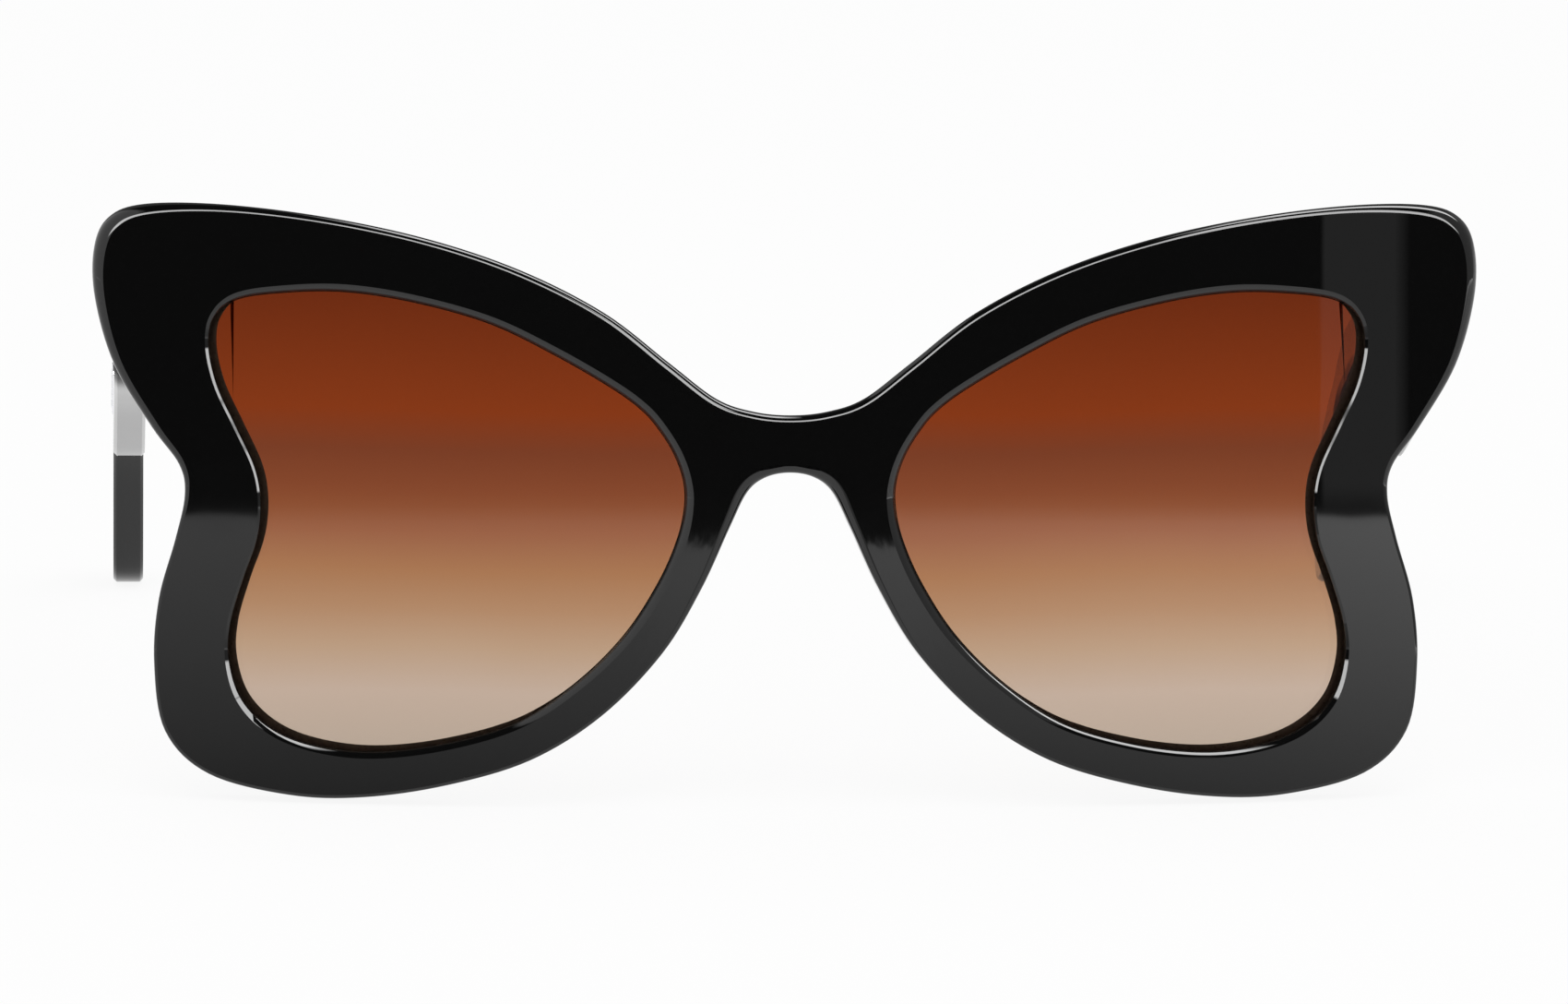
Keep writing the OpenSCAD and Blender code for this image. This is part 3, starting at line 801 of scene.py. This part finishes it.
class SUNGLASSES_OT_front(bpy.types.Operator):
    """Model the acetate front: rims, bridge and thick end pieces with their hinge pockets"""
    bl_idname = "sunglasses.front"
    bl_label = "Front"

    def execute(self, context):
        sizes = settings("front")
        shape = FrontShape()
        self.loops = shape.outer(0), shape.inner(sizes.wall)
        piece = band("acetate_front", shape.rows(sizes.wall, spare=0.2 * MM))
        thicken(piece, sizes.thickness)
        self.round_edges(piece, sizes, shape)
        delete_faces(piece, self.in_middle)
        self.cut_groove(piece, sizes)
        close(piece)
        apply(piece, "MIRROR", use_axis=(True, False, False), use_clip=True,
              merge_threshold=MERGE)
        close(piece)
        shaped(piece, lambda x, y, z: (x, self.wrapped(sizes, x, y, z), z))
        hinge, depth = settings("hinges"), joint_depth()
        for _, across, _ in SIDES:
            cut_seat(piece, across, HINGE.x - hinge.barrel_radius - hinge.gap,
                     HINGE.x + hinge.leaf_width + hinge.gap,
                     depth - hinge.leaf - hinge.gap, depth + hinge.leaf)
        finish(piece, acetate_material(), "front", "front_frame", placed(), angle=50)
        polish(piece)
        return {"FINISHED"}

    def near_opening(self, point):
        """Whether a point lies nearer to the lens opening than to the outline."""
        away = [np.hypot(*(loop - (point.x, point.z)).T).min() for loop in self.loops]
        return away[1] < away[0]

    def is_inside(self, face):
        """Whether an upright face belongs to the wall of the lens opening."""
        return abs(face.normal.y) < UPRIGHT and self.near_opening(face.calc_center_median())

    def in_middle(self, element):
        """Whether a face or an edge lies in the plane on which the halves meet."""
        return all(abs(v.co.x) < MERGE for v in element.verts)

    def rim_edge(self, depth, inside):
        """Picks the sharp edges at that depth, of the opening or of the outline."""
        def wanted(edge):
            return (all(abs(v.co.y - depth) < MERGE for v in edge.verts)
                    and fold(edge) > SHARP_FOLD and not self.in_middle(edge)
                    and any(abs(face.normal.y) < UPRIGHT and self.is_inside(face) == inside
                            for face in edge.link_faces))
        return wanted

    def round_edges(self, piece, sizes, shape):
        """Rounds the edges of the outline and of the opening, and leaves a crease where the
        opening's rounding starts."""
        back = sizes.thickness
        along_bridge = np.full(len(shape.down), shape.arc_round[0])
        bevel_along(piece, self.rim_edge(0, True), self.loops[1], shape.hole_round, segments=2)
        bevel(piece, self.rim_edge(back, True), sizes.rim_back_round, segments=3)
        bevel_along(piece, self.rim_edge(0, False), self.loops[0],
                    np.concatenate([shape.arc_round, along_bridge]), segments=8)
        bevel(piece, self.rim_edge(back, False), sizes.back_round, segments=6)
        with editing(piece, "EDGE") as mesh:
            pick(mesh, mesh.edges, lambda edge: (
                fold(edge) > ROUND_FOLD and all(abs(v.co.y) < MERGE for v in edge.verts)
                and self.near_opening(edge.verts[0].co)))
            bpy.ops.mesh.mark_sharp()

    def cut_groove(self, piece, sizes):
        """Cuts the groove that holds the lens into the wall of the opening."""
        front, back = sizes.groove_front, sizes.groove_back
        with editing(piece, "FACE") as mesh:
            for depth in (front, back):
                pick(mesh, mesh.faces, self.is_inside)
                bpy.ops.mesh.bisect(plane_co=(0, depth, 0), plane_no=(0, 1, 0))
                mesh = bmesh.from_edit_mesh(piece.data)
            pick(mesh, mesh.faces, lambda face: self.is_inside(face)
                 and front < face.calc_center_median().y < back)
            bpy.ops.mesh.extrude_region_shrink_fatten(
                TRANSFORM_OT_shrink_fatten={"value": -sizes.groove_depth})

    def wrapped(self, sizes, x, depth, z):
        """Bends the front round its wrap, and draws the back of the end pieces out to the
        flat face on which the temples rest."""
        y = wrap(x, depth)
        blend = sizes.block_blend
        block = (smooth_step(abs(x), sizes.block_inner - blend, sizes.block_inner + blend)
                 * smooth_step(z, sizes.block_low - blend, sizes.block_low + blend)
                 * smooth_step(depth, sizes.thickness / 2, sizes.thickness))
        rear = joint_depth() - (sizes.thickness - depth)
        return y * (1 - block) + np.maximum(y, rear) * block


class SUNGLASSES_OT_lenses(bpy.types.Operator):
    """Model the two lenses with their bevelled edges in the groove"""
    bl_idname = "sunglasses.lenses"
    bl_label = "Lenses"

    def execute(self, context):
        sizes, front = settings("lenses"), settings("front")
        glass, ground = lens_material(), ground_material()
        shape = FrontShape()
        rim = shape.inner(front.wall - sizes.seat)
        low_outside = (0.8, -0.6)
        widening = np.clip(shape.hole_out @ low_outside, 0, 1) ** sizes.edge_swell
        widths = sizes.seat + sizes.edge + sizes.edge_more * widening
        front_out = placed().to_3x3() @ Vector((0, -1, 0))
        for side, across, _ in SIDES:
            piece = plate(side + "_lens_glass", rim)
            thicken(piece, sizes.thickness)
            bevel_along(piece, lambda edge: fold(edge) > SHARP_FOLD and all(
                v.co.y < MERGE for v in edge.verts), rim, widths)
            self.divide(piece)
            shaped(piece, lambda x, y, z: (across * x, wrap(x, y + sizes.set_back), z))
            close(piece)
            finish(piece, glass, "front", side + "_lens", placed(), angle=20,
                   flat_faces=False)
            piece.data.materials.append(ground)
            for face in piece.data.polygons:
                face.material_index = abs(face.normal.dot(front_out)) < LENS_FACE
        return {"FINISHED"}

    def divide(self, piece, step=1.5 * MM):
        """Divides a flat lens into upright strips, so that it bends round the wrap."""
        first, last = (side([v.co.x for v in piece.data.vertices]) for side in (min, max))
        with editing(piece, "FACE"):
            for x in np.arange(first + step / 2, last, step):
                bpy.ops.mesh.select_all(action="SELECT")
                bpy.ops.mesh.bisect(plane_co=(x, 0, 0), plane_no=(1, 0, 0))


class SUNGLASSES_OT_pads(bpy.types.Operator):
    """Model the nose pads as rounded ridges on the back of the rims"""
    bl_idname = "sunglasses.pads"
    bl_label = "Nose pads"

    def execute(self, context):
        material = acetate_material()
        for side, across, _ in SIDES:
            piece = self.ridge(side + "_pad", across)
            finish(piece, material, "front", side + "_nose_pad", placed(), angle=60)
        return {"FINISHED"}

    def ridge(self, name, across):
        """A sphere drawn out along the nose side and flattened against the rim."""
        sizes, thickness = settings("pads"), settings("front").thickness
        nose = np.array(HALF_OUTLINE[:NOSE_POINTS]) * MM

        def drawn_out(side, out, along):
            z = sizes.middle + np.sign(along) * abs(along) ** sizes.fullness * sizes.length / 2
            foot = np.interp(-z, -nose[:, 1], nose[:, 0]) + sizes.inset + sizes.width / 2
            lift = np.maximum(out, -sizes.sink)
            x = foot + sizes.flare * np.maximum(lift, 0) + side * sizes.width / 2
            return across * x, wrap(foot, thickness) + lift * sizes.height, z

        piece = added("uv_sphere", name, segments=32, ring_count=24, radius=1)
        shaped(piece, drawn_out)
        close(piece)
        return piece


class SUNGLASSES_OT_temples(bpy.types.Operator):
    """Model the temples with their chamfered edges and the seats of the hinge leaves"""
    bl_idname = "sunglasses.temples"
    bl_label = "Temples"

    def execute(self, context):
        sizes, hinge = settings("temples"), settings("hinges")
        material = acetate_material()
        x = HINGE.x + sizes.axis_offset
        y = joint_depth() + sizes.axis_offset
        for side, across, arm in SIDES:
            piece = plate(side + "_acetate_temple", self.outline())
            thicken(piece, sizes.thickness)
            bevel(piece, self.face_edge(SHARP_FOLD, math.pi), sizes.chamfer)
            bevel(piece, self.face_edge(CHAMFER_FOLD, SHARP_FOLD), sizes.softness, segments=3)
            shaped(piece, lambda s, depth, z: (across * (x + depth), y + s, z))
            close(piece)
            cut_seat(piece, across, x - hinge.leaf, x + hinge.leaf + hinge.gap,
                     y - sizes.axis_offset - hinge.leaf, y + hinge.leaf_length + hinge.gap)
            finish(piece, material, arm, side + "_temple", placed())
        return {"FINISHED"}

    def outline(self):
        """The temple's closed outline: along the lower edge and back along the upper one."""
        sizes = settings("temples")
        start = (-sizes.axis_offset + sizes.butt_gap) / MM
        rows = np.concatenate([np.array([[start, *TEMPLE_ROOT]]) * MM,
                               curve_through(TEMPLE_STATIONS, False, TEMPLE_STEPS)])
        return np.concatenate([rows[:, [0, 1]], rows[-2::-1, [0, 2]]])

    def face_edge(self, least, most):
        """Picks the edges along the two faces whose fold lies between these angles."""
        def wanted(edge):
            first, second = edge.verts
            return least < fold(edge) < most and abs(first.co.y - second.co.y) < MERGE
        return wanted


class SUNGLASSES_OT_studs(bpy.types.Operator):
    """Model the stud rings and their faceted stones on both faces of each temple"""
    bl_idname = "sunglasses.studs"
    bl_label = "Studs and stones"

    def execute(self, context):
        sizes = settings("studs")
        silver, stone = silver_material(), stone_material()
        for side, across, arm in SIDES:
            rings, stones = [], []
            for turn, depth, radius in self.faces(across, sizes):
                ring = self.ring(radius, sizes)
                gem = self.stone(radius - sizes.ring, sizes)
                for place in self.places(sizes, across, turn, depth):
                    rings.append(self.copy(ring, place))
                    stones.append(self.copy(gem, place))
                for model in (ring, gem):
                    bpy.data.objects.remove(model)
            finish(self.joined(side + "_stud_rings", rings), silver, arm,
                   side + "_studs", angle=40)
            finish(self.joined(side + "_stones", stones), stone, arm,
                   side + "_crystals", angle=8)
        return {"FINISHED"}

    def faces(self, across, sizes):
        """For the inner and the outer face: the turn that points a stud out of it, its
        distance from the middle, and the radius of its rings."""
        temples = settings("temples")
        inner = HINGE.x + temples.axis_offset
        quarter = math.pi / 2
        return ((-across * quarter, inner, sizes.inner_radius),
                (across * quarter, inner + temples.thickness, sizes.outer_radius))

    def places(self, sizes, across, turn, depth):
        """The matrix of every stud on one face."""
        axis_y = joint_depth() + settings("temples").axis_offset
        along = np.array([math.cos(sizes.slope), -math.sin(sizes.slope)])
        up = np.array([math.sin(sizes.slope), math.cos(sizes.slope)])
        for row, count in enumerate(STUD_COUNTS):
            first = (np.array(STUD_START) * MM
                     + (1 - row) * (sizes.rows_gap * up + sizes.row_shift * along))
            for i in range(count):
                s, z = first - i * sizes.pitch * along
                # Each stud was pressed in at another turn
                yield (placed() @ Matrix.Translation((across * depth, axis_y + s, z))
                       @ Matrix.Rotation(turn, 4, "Y") @ Matrix.Rotation(i + row, 4, "Z"))

    def ring(self, radius, sizes, steps=6, sides_around=24, collar=0.45):
        """A round-topped ring on a short collar, which is a share of its height."""
        half, rise = sizes.ring / 2, sizes.proud
        turns = [math.pi * k / steps for k in range(steps + 1)]
        profile = [(radius, -rise)]
        profile += [(radius - half + half * math.cos(t),
                     rise * (collar + (1 - collar) * math.sin(t))) for t in turns]
        profile += [(radius - sizes.ring, -rise), (radius, -rise)]
        return turned("ring_model", profile, sides_around)

    def stone(self, radius, sizes, facets=8, girdle=0.2, crown=0.75, waist=0.8, table=0.52):
        """A brilliant: girdle, two rows of facets turned against each other, and a table.
        Girdle and crown are shares of the ring's height, waist and table of the radius."""
        base, top = sizes.proud * girdle, sizes.proud * crown + sizes.stone
        middle = (base + top) / 2
        profile = [(0, -sizes.proud), (radius, -sizes.proud), (radius, base),
                   (radius * waist, middle), (radius * table, top), (0, top)]
        piece = turned("stone_model", profile, facets)
        shaped(piece, lambda x, y, z: self.twisted(
            x, y, z, np.where(abs(z - middle) < MERGE, math.pi / facets, 0)))
        apply(piece, "TRIANGULATE")
        return piece

    @staticmethod
    def twisted(x, y, z, turn):
        """Points turned about the z axis."""
        return (x * np.cos(turn) - y * np.sin(turn), x * np.sin(turn) + y * np.cos(turn), z)

    def copy(self, model, place):
        piece = bpy.data.objects.new(model.name, model.data.copy())
        bpy.context.scene.collection.objects.link(piece)
        piece.data.transform(place)
        return piece

    def joined(self, name, pieces):
        select_only(*pieces)
        bpy.ops.object.join()
        piece = bpy.context.object
        piece.name = piece.data.name = name
        return piece


class SUNGLASSES_OT_hinges(bpy.types.Operator):
    """Give the hinge leaves, screws, rivets and core wires their metal finishes"""
    bl_idname = "sunglasses.hinges"
    bl_label = "Hinges and wires"

    def execute(self, context):
        metals = {"leaf": nickel_material(), "rivets": nickel_material(),
                  "screw": steel_material(), "wire": wire_material()}
        for name, node in frame["nodes"].items():
            for ending, material in metals.items():
                if name.endswith(ending):
                    node.material_slots[0].material = material
        return {"FINISHED"}


# The room that the gloss mirrors. The parts of a direction are rise, up the front, ahead,
# out of its face, and across, to the wearer's left. Height is ahead / rise, which is 0
# straight up, lean is across / rise, and turn is across / ahead. A pair says where a step
# begins and where it ends.
# White table, by the drop below the horizon: a dip behind its edge and a gain further
# down, and its light in the middle, to the left and to both sides
TABLE_DIP, DIP_LOSS, TABLE_DEEP, DEEP_GAIN = (0, 0.02), 0.65, (0.05, 0.3), 0.5
TABLE_LIGHT = (1.25, 1.0, 1.6)
# White walls on both sides of the room's middle, of which the left one is duller
ROOM_MIDDLE, WALLS, WALL_LIGHT = 0.043, (0.487, 0.53), 1.1
LEFT_WALL, LEFT_LOSS = (0, 0.1), 0.6
# The white behind the object, which fades higher up
BEHIND, BEHIND_HIGH, HIGH_LOSS = (0.05, 0.25), (0.1, 0.3), 0.75
# Softbox overhead: its ends, by the distance from the room's middle over rise, its low
# part by height, its middle part by across, and its high part by height and by lean
ABOVE, BOX_ENDS, BOX_AHEAD = (0, 0.05), (4.5, 5.5), (0.73, 0.77)
LOW_BOX, LOW_BOX_END, MIDDLE_BOX = (2.4, 2.6), (12, 14), (0.18, 0.22)
HIGH_BOX, HIGH_BOX_END, HIGH_BOX_SLANT = (-0.2, -0.1), (0.45, 0.5), 0.4
HIGH_LEAN, HIGH_LEAN_END = (0, 0.1), (1.2, 1.4)
# Upright strip at the side, by turn
STRIP, STRIP_END, STRIP_AHEAD = (0.47, 0.474), (0.54, 0.555), (0.5, 0.6)
# Place and size of the lamp overhead, and how far behind the front's face it aims
LAMP_PLACE, LAMP_SIZE, LAMP_AIM = (0.1, -0.25, 0.65), (0.6, 0.3), 0.03


class SUNGLASSES_OT_stage(bpy.types.Operator):
    """Set the white floor, the studio light and the camera"""
    bl_idname = "sunglasses.stage"
    bl_label = "Stage"

    def execute(self, context):
        studio = settings("studio")
        self.floor(studio)
        self.world(studio)
        self.lamps(studio)
        self.camera(studio)
        return {"FINISHED"}

    def floor(self, studio):
        floor = added("plane", "floor", size=studio.floor)
        material, recipe = new_material("White_floor")
        grain = noise(recipe, scale=12.0, detail=2.0)
        paint = recipe.add("ShaderNodeBsdfDiffuse", inputs={
            "Color": mixed(recipe, grain, (0.93, 0.93, 0.93), (0.95, 0.95, 0.95))})
        glow = recipe.add("ShaderNodeEmission", inputs={"Strength": 1.0})
        seen = self.background_rays(recipe) * studio.floor_glow
        mix = recipe.add("ShaderNodeMixShader", inputs={0: seen, 1: paint, 2: glow})
        recipe.add("ShaderNodeOutputMaterial", inputs={"Surface": mix})
        floor.data.materials.append(material)

    def background_rays(self, recipe):
        """1 for the rays that see the white background, and 0 for those that light."""
        camera, glossy, transmission = (
            recipe.add("ShaderNodeLightPath", output=name)
            for name in ("Is Camera Ray", "Is Glossy Ray", "Is Transmission Ray"))
        return recipe.step(camera + glossy + transmission, 0.0, 1.0)

    def world(self, studio):
        """White behind the object. In its gloss the room shows too: white below, beside and
        behind, dark in front, with a softbox overhead and a dim strip at the side."""
        world = bpy.data.worlds.new("Studio")
        world.use_nodes = True
        bpy.context.scene.world = world
        recipe = Recipe(world.node_tree)
        direction = recipe.add("ShaderNodeTexCoord", output="Generated")
        front = Vector((0, -1, 0))
        front.rotate(Matrix.Rotation(-LEAN, 3, "X"))
        rise, ahead, across = (
            recipe.add("ShaderNodeVectorMath", {"operation": "DOT_PRODUCT"}, {
                0: direction, 1: axis}, output="Value")
            for axis in (FRONT_UP, front, Vector((1, 0, 0))))
        step, between = recipe.step, recipe.between
        beside = recipe.math("ABSOLUTE", across - ROOM_MIDDLE)
        drop = studio.horizon - rise
        middle, to_left, to_sides = TABLE_LIGHT
        table = (step(drop, 0, studio.horizon_blur)
                 * (middle + (to_left + to_sides * across) * across)
                 * (1 - DIP_LOSS * step(drop, *TABLE_DIP) + DEEP_GAIN * step(drop, *TABLE_DEEP)))
        walls = step(beside, *WALLS) * (WALL_LIGHT - LEFT_LOSS * step(across, *LEFT_WALL))
        behind = step(0 - ahead, *BEHIND) * (1 - HIGH_LOSS * step(rise, *BEHIND_HIGH))
        white = recipe.most(table, walls, behind)
        height, lean, turn = ahead / rise, across / rise, across / ahead
        low_box = between(height, LOW_BOX, LOW_BOX_END) * step(ahead, *BOX_AHEAD)
        middle_box = (step(ahead, *BOX_AHEAD) * (1 - step(height, *LOW_BOX))
                      * step(across, *MIDDLE_BOX))
        high_box = (step(height, *HIGH_BOX) * between(lean, HIGH_LEAN, HIGH_LEAN_END)
                    * (1 - step(height + HIGH_BOX_SLANT * lean, *HIGH_BOX_END)))
        # The softbox stays out of a second reflection
        depth = recipe.add("ShaderNodeLightPath", output="Glossy Depth")
        glossy = step(depth, 0, 1)
        softbox = (recipe.most(low_box, middle_box, high_box) * (1 - step(depth, 1, 2))
                   * step(rise, *ABOVE) * (1 - step(beside / rise, *BOX_ENDS)))
        strip = (between(turn, STRIP, STRIP_END) * step(ahead, *STRIP_AHEAD)
                 * step(rise, studio.horizon, studio.strip_foot))
        mirrored = (studio.dark + white * (1 - studio.dark) + softbox * studio.softbox
                    + strip * studio.strip)
        seen = self.background_rays(recipe)
        lit = (1 - glossy) * (seen * (1 - studio.ambient) + studio.ambient)
        light = recipe.add("ShaderNodeBackground", inputs={
            "Color": (1, 1, 1, 1), "Strength": lit + glossy * mirrored})
        recipe.add("ShaderNodeOutputWorld", inputs={"Surface": light})

    def lamps(self, studio):
        """A large lamp overhead, aimed at the front."""
        aim = placed() @ Vector((0, LAMP_AIM, settings("temples").hinge_height / 2))
        bpy.ops.object.light_add(type="AREA", location=placed() @ Vector(LAMP_PLACE))
        lamp = bpy.context.object
        lamp.name = "overhead"
        lamp.data.shape = "RECTANGLE"
        lamp.data.size, lamp.data.size_y = LAMP_SIZE
        lamp.data.energy = studio.key
        lamp.visible_glossy = False
        lamp.rotation_euler = (aim - lamp.location).to_track_quat("-Z", "Y").to_euler()

    def camera(self, studio):
        """A long lens, square to the leaning front but for a small yaw."""
        aim = placed() @ Vector((studio.aim_x, 0, studio.aim_z))
        turn = placed().to_3x3() @ Matrix.Rotation(-studio.yaw, 3, "Z")
        back = (turn @ Vector((0, -1, 0))).normalized()
        bpy.ops.object.camera_add(location=aim + back * studio.distance)
        camera = bpy.context.object
        camera.name = "camera"
        side = FRONT_UP.cross(back).normalized()
        camera.matrix_world = Matrix.Translation(camera.location) @ Matrix(
            (side, back.cross(side), back)).transposed().to_4x4()
        camera.data.lens = camera.data.sensor_width * studio.distance / studio.view_width
        camera.data.clip_end = 50
        scene = bpy.context.scene
        scene.camera = camera
        scene.view_settings.view_transform = "Standard"


class SUNGLASSES_PT_panel(bpy.types.Panel):
    """The steps that model and light the sunglasses"""
    bl_label = "Sunglasses"
    bl_idname = "SUNGLASSES_PT_panel"
    bl_space_type = "VIEW_3D"
    bl_region_type = "UI"
    bl_category = "Sunglasses"

    def draw(self, context):
        for step in STEPS:
            self.layout.operator(step.bl_idname)


STEPS = (
    SUNGLASSES_OT_front, SUNGLASSES_OT_lenses, SUNGLASSES_OT_pads, SUNGLASSES_OT_temples,
    SUNGLASSES_OT_studs, SUNGLASSES_OT_hinges, SUNGLASSES_OT_stage)


def register():
    for group in SETTINGS.values():
        bpy.utils.register_class(group)
    for name, group in SETTINGS.items():
        pointer = bpy.props.PointerProperty(type=group)
        setattr(bpy.types.Scene, "sunglasses_" + name, pointer)
    for step in (*STEPS, SUNGLASSES_PT_panel):
        bpy.utils.register_class(step)


def unregister():
    for step in (SUNGLASSES_PT_panel, *reversed(STEPS)):
        bpy.utils.unregister_class(step)
    for name, group in reversed(SETTINGS.items()):
        delattr(bpy.types.Scene, "sunglasses_" + name)
        bpy.utils.unregister_class(group)


def main():
    register()
    for step in STEPS:
        area, name = step.bl_idname.split(".")
        getattr(getattr(bpy.ops, area), name)()


if __name__ == "__main__":
    main()
